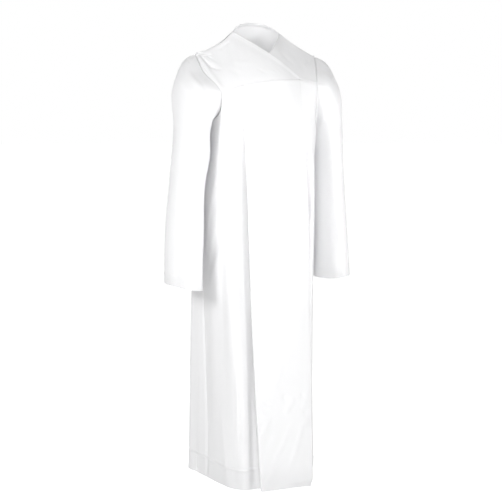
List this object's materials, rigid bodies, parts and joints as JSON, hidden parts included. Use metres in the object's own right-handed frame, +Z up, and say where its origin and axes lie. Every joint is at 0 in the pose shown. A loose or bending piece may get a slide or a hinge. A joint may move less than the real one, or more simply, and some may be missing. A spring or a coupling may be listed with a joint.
{
  "type": "confirmation robe",
  "caption": "Long white robe worn for confirmation, with set-in sleeves, a crossed-over front yoke and a wide box pleat that falls from the yoke seam to the hem.",
  "frame": {"origin": "middle of the neck opening between the wearer's shoulders, level with the side points of the neck", "axes": "+X to the wearer's left, -Y to the front, +Z up"},
  "size_m": [0.5783, 0.4057, 1.3441],
  "materials": {
    "white_polyester": "matte woven polyester with a slight sheen"
  },
  "bodies": {
    "root": {"yoke_right": "white_polyester", "yoke_left": "white_polyester", "yoke_back": "white_polyester", "front_panel": "white_polyester", "front_right": "white_polyester", "front_left": "white_polyester", "back": "white_polyester", "sleeve_right": "white_polyester", "sleeve_left": "white_polyester"}
  },
  "joints": []
}
